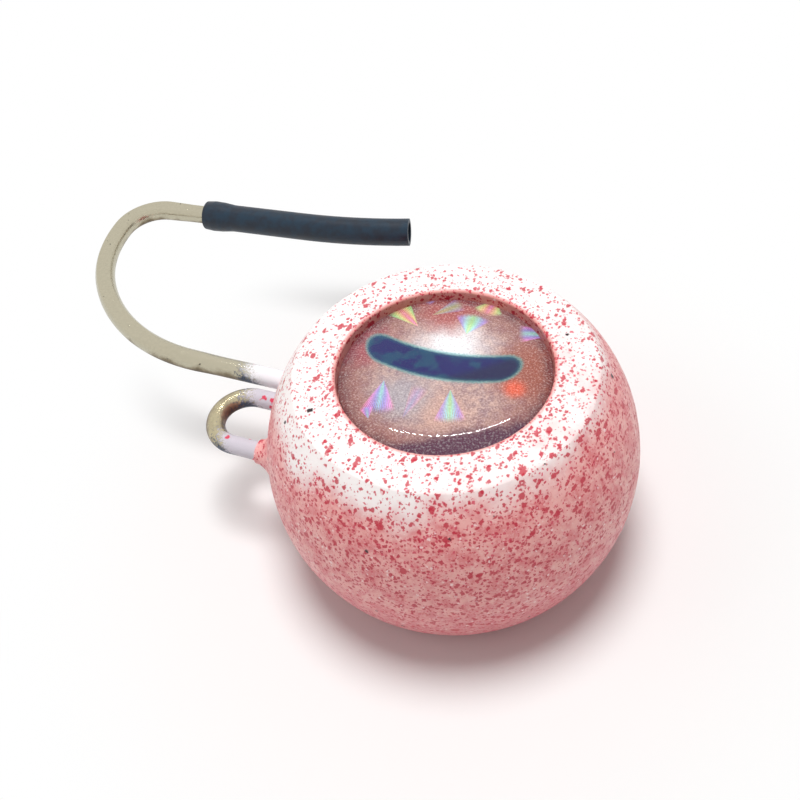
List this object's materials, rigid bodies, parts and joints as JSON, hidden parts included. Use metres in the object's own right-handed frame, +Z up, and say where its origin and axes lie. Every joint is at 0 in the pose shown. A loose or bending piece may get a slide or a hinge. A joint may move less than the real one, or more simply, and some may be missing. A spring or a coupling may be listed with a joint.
{
  "type": "jig head",
  "caption": "Heavy ball-shaped fishing jig head with flat eyed sides, a forged hook with a slip-off point guard, a hidden line eye and a wire assist loop.",
  "frame": {"origin": "on the head's axis, in the plane of the lower flat face that the jig lies on", "axes": "+Z up along the head's axis through both eyes; -X from the head along the hook's shank to its bend; +Y across to the hook's point and the line eye"},
  "size_m": [0.089, 0.0623, 0.0296],
  "materials": {
    "powder_coat": "semi-gloss speckled powder coat over cast lead",
    "hook_wire": "worn nickel plate, tarnished",
    "loop_wire": "brown tarnish with overspray",
    "eye_pad": "adhesive film",
    "eye_foil": "printed facet foil",
    "eye_lens": "clear domed resin",
    "guard_vinyl": "soft dark vinyl tube"
  },
  "bodies": {
    "jig": {"head_casting": "powder_coat", "jig_hook": "hook_wire", "assist_loop": "loop_wire", "upper_eye_pad": "eye_pad", "upper_eye_foil": "eye_foil", "upper_eye_lens": "eye_lens", "lower_eye_pad": "eye_pad", "lower_eye_foil": "eye_foil", "lower_eye_lens": "eye_lens"},
    "guard": {"point_guard": "guard_vinyl"}
  },
  "joints": [
    {"name": "guard_slide", "type": "slide", "parent": "jig", "child": "guard", "axis": [0.9971, 0.0758, 0], "range_m": [0, 0.024]}
  ]
}
